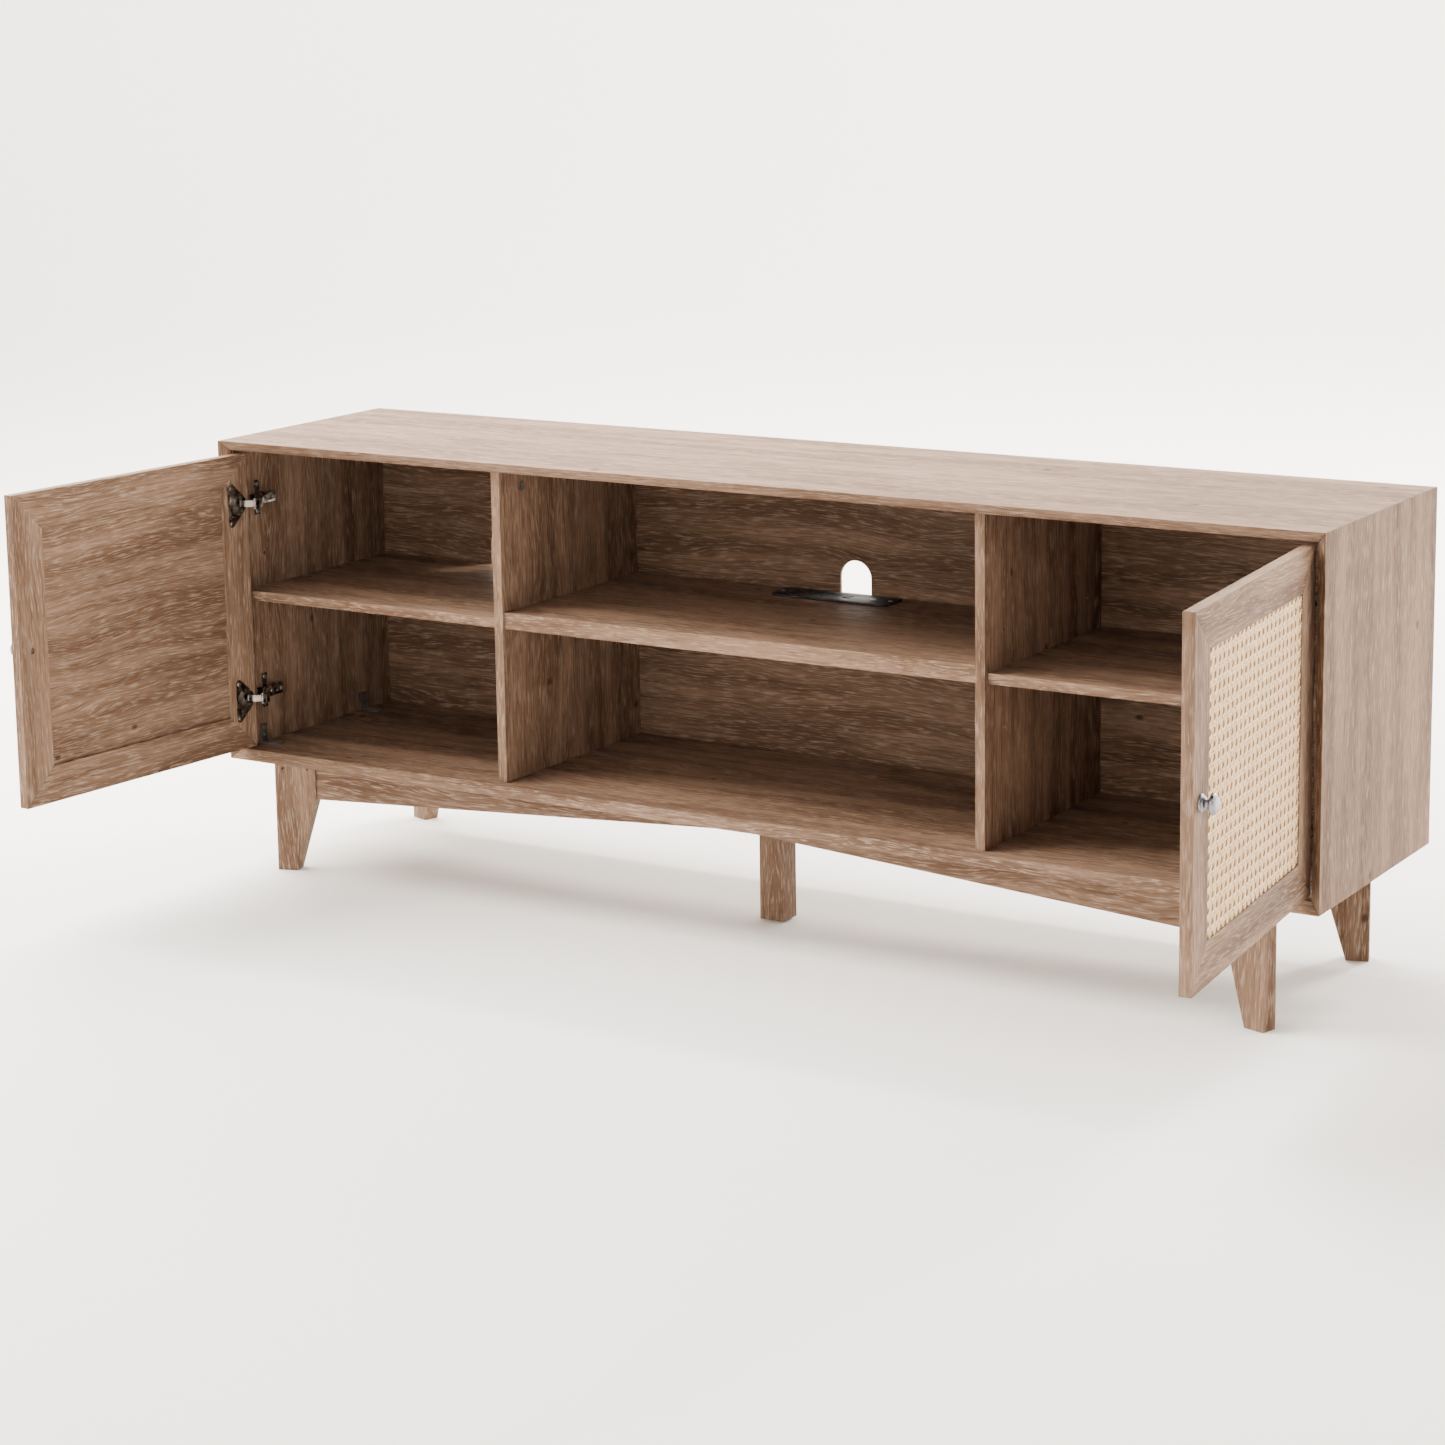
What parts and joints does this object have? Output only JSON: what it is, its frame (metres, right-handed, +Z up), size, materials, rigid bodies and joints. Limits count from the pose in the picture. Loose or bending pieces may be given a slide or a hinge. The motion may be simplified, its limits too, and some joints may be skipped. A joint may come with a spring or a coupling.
{
  "type": "media cabinet",
  "caption": "Low oak-look media cabinet on tapered legs, with rattan doors on cup hinges, open middle shelf, cable holes and power outlet.",
  "frame": {"origin": "on the floor, under the middle of the centre leg, which ends 3 mm above the floor", "axes": "+X to the viewer's right when facing the front, +Y from the front to the back, +Z up"},
  "size_m": [1.8776, 0.8533, 0.672],
  "materials": {
    "oak": "matt oak-look laminate with pale pores",
    "oak_back": "matt oak-look laminate",
    "rattan": "woven natural cane",
    "nickel": "nickel-plated steel",
    "steel": "zinc-plated steel",
    "brushed_nickel": "brushed nickel",
    "black_plastic": "matt black"
  },
  "bodies": {
    "case": {"apron_front": "oak", "apron_rear": "oak", "back_panel_centre": "oak_back", "back_panel_left": "oak_back", "back_panel_right": "oak_back", "bottom_panel": "oak", "bracket_front_left": "steel", "bracket_front_right": "steel", "bracket_rear_left": "steel", "bracket_rear_right": "steel", "divider_left": "oak", "divider_right": "oak", "hinge_arm_left_lower": "nickel", "hinge_arm_left_upper": "nickel", "hinge_arm_right_lower": "nickel", "hinge_arm_right_upper": "nickel", "leg_centre": "oak", "leg_front_left": "oak", "leg_front_right": "oak", "leg_rear_left": "oak", "leg_rear_right": "oak", "mounting_plate_left_lower": "nickel", "mounting_plate_left_upper": "nickel", "mounting_plate_right_lower": "nickel", "mounting_plate_right_upper": "nickel", "outlet_body": "black_plastic", "outlet_cover": "black_plastic", "shelf_centre": "oak", "shelf_left": "oak", "shelf_right": "oak", "side_panel_left": "oak", "side_panel_right": "oak", "top_panel": "oak"},
    "door_left": {"bottom_rail_left": "oak", "door_back_left": "oak", "hinge_stile_left": "oak", "knob_left": "brushed_nickel", "latch_stile_left": "oak", "rattan_panel_left": "rattan", "top_rail_left": "oak", "hinge_cup_left_lower": "nickel", "hinge_cup_left_upper": "nickel"},
    "door_right": {"bottom_rail_right": "oak", "door_back_right": "oak", "hinge_stile_right": "oak", "knob_right": "brushed_nickel", "latch_stile_right": "oak", "rattan_panel_right": "rattan", "top_rail_right": "oak", "hinge_cup_right_lower": "nickel", "hinge_cup_right_upper": "nickel"},
    "hinge_links_left": {"hinge_link_left_lower": "nickel", "hinge_link_left_upper": "nickel"},
    "hinge_links_right": {"hinge_link_right_lower": "nickel", "hinge_link_right_upper": "nickel"}
  },
  "joints": [
    {"name": "door_left_hinge", "type": "hinge", "parent": "case", "child": "door_left", "pos_m": [-0.875, -0.138, 0.422], "axis": [0, 0, -1], "range_deg": [-95, 0]},
    {"name": "hinge_links_left_pivot", "type": "hinge", "parent": "case", "child": "hinge_links_left", "pos_m": [-0.84849, -0.1329, 0.422], "axis": [0, 0, -1], "range_deg": [0, 29]},
    {"name": "door_right_hinge", "type": "hinge", "parent": "case", "child": "door_right", "pos_m": [0.875, -0.138, 0.422], "axis": [0, 0, 1], "range_deg": [-95, 0]},
    {"name": "hinge_links_right_pivot", "type": "hinge", "parent": "case", "child": "hinge_links_right", "pos_m": [0.84849, -0.1329, 0.422], "axis": [0, 0, 1], "range_deg": [0, 29]}
  ],
  "couplings": [
    {"joint": "hinge_links_left_pivot", "follows": "door_left_hinge", "ratio": -0.30412},
    {"joint": "hinge_links_right_pivot", "follows": "door_right_hinge", "ratio": -0.30412}
  ]
}
